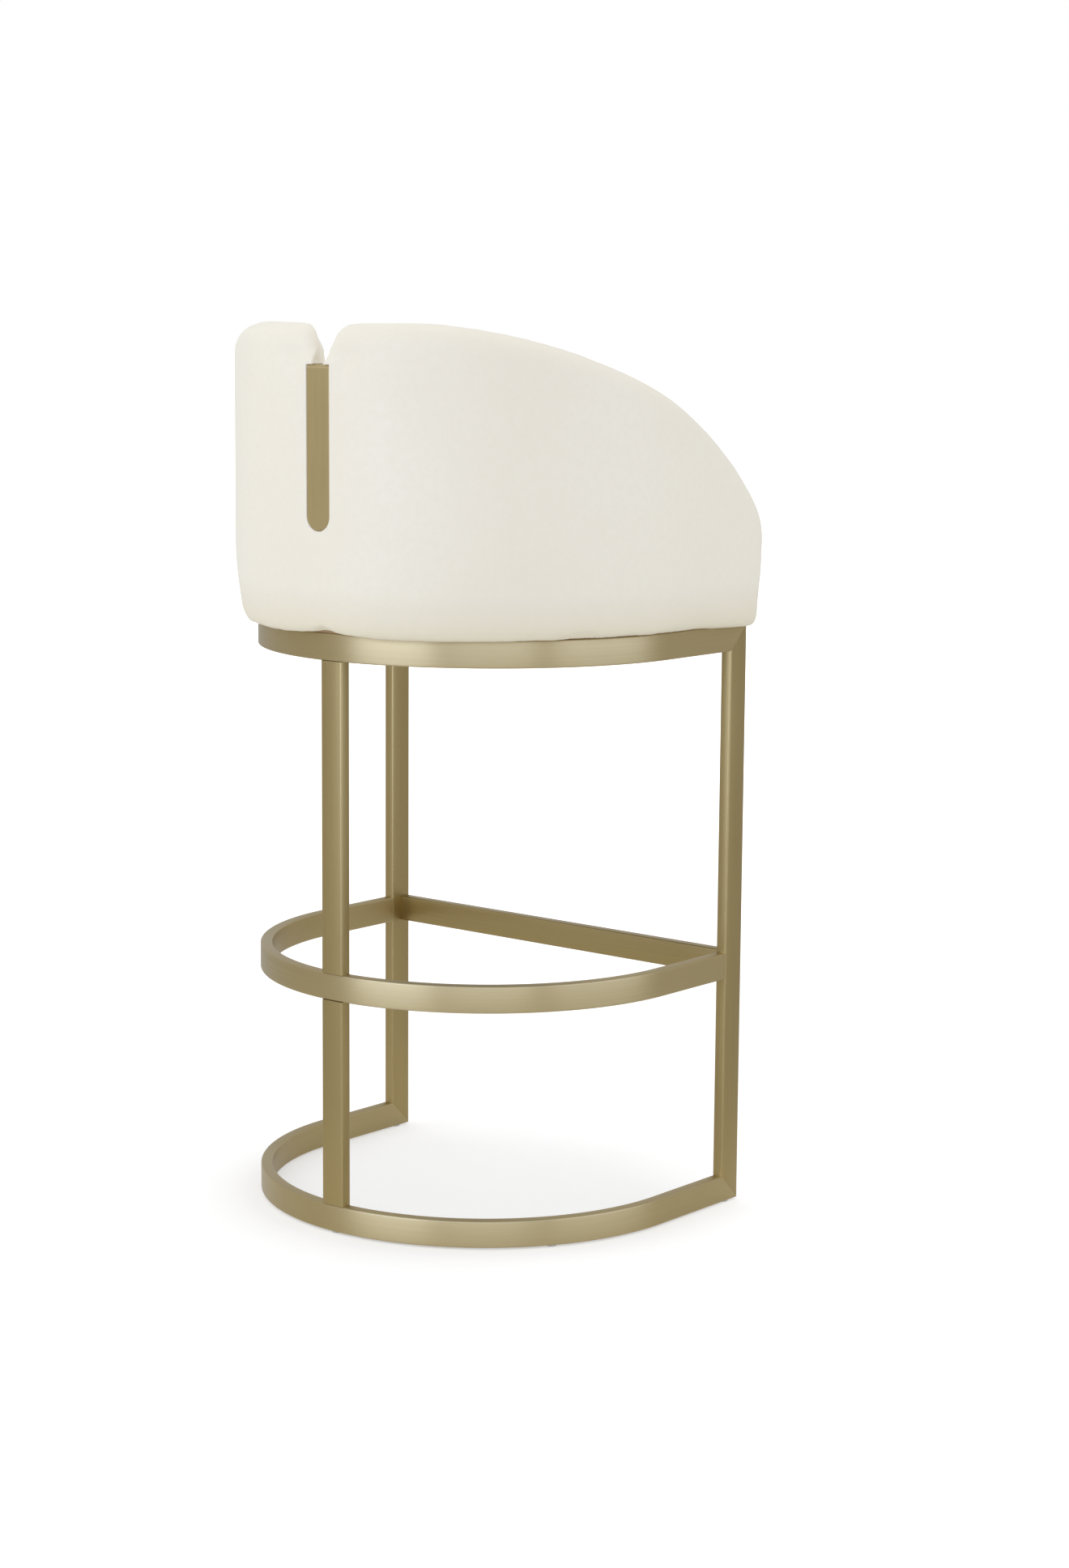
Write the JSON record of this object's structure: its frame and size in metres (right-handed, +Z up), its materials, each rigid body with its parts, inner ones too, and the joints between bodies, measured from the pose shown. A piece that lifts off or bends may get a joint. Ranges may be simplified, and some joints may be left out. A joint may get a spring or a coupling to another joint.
{
  "type": "bar stool",
  "caption": "Bar stool with a padded wrap-around back, a notched back with a metal accent bar, and a half-round tube frame with a footrest.",
  "frame": {"origin": "on the floor, under the centre of the bounding box", "axes": "+Z up, -Y is the way the sitter faces, +X to the sitter's left"},
  "size_m": [0.57, 0.4356, 1],
  "materials": {
    "frame_metal": "brushed, champagne gold plated",
    "accent_metal": "brushed, champagne gold plated",
    "upholstery": "smooth off-white leatherette over foam",
    "plywood": "raw plywood",
    "zinc_steel": "zinc plated",
    "dust_cloth": "black non-woven",
    "nylon": "moulded nylon"
  },
  "bodies": {
    "root": {"seat_ring": "frame_metal", "footrest_ring": "frame_metal", "base_ring": "frame_metal", "front_leg_right": "frame_metal", "front_leg_left": "frame_metal", "footrest_bar": "frame_metal", "seat_front_rail": "frame_metal", "back_leg_lower": "frame_metal", "back_leg_upper": "frame_metal", "seat_tab_front_left": "frame_metal", "seat_tab_front_right": "frame_metal", "seat_tab_rear_left": "frame_metal", "seat_tab_rear_right": "frame_metal", "accent_bar": "accent_metal", "back_pad": "upholstery", "seat_cushion": "upholstery", "back_core": "plywood", "seat_board": "plywood", "accent_stud_lower": "zinc_steel", "accent_stud_upper": "zinc_steel", "accent_nut_lower": "zinc_steel", "accent_nut_upper": "zinc_steel", "shell_screw_front_left": "zinc_steel", "shell_screw_front_right": "zinc_steel", "shell_screw_rear_left": "zinc_steel", "shell_screw_rear_right": "zinc_steel", "seat_screw_front_left": "zinc_steel", "seat_screw_front_right": "zinc_steel", "seat_screw_rear_left": "zinc_steel", "seat_screw_rear_right": "zinc_steel", "dust_cover": "dust_cloth", "glide_front_left": "nylon", "glide_front_right": "nylon", "glide_side_left": "nylon", "glide_side_right": "nylon", "glide_back": "nylon"}
  },
  "joints": []
}
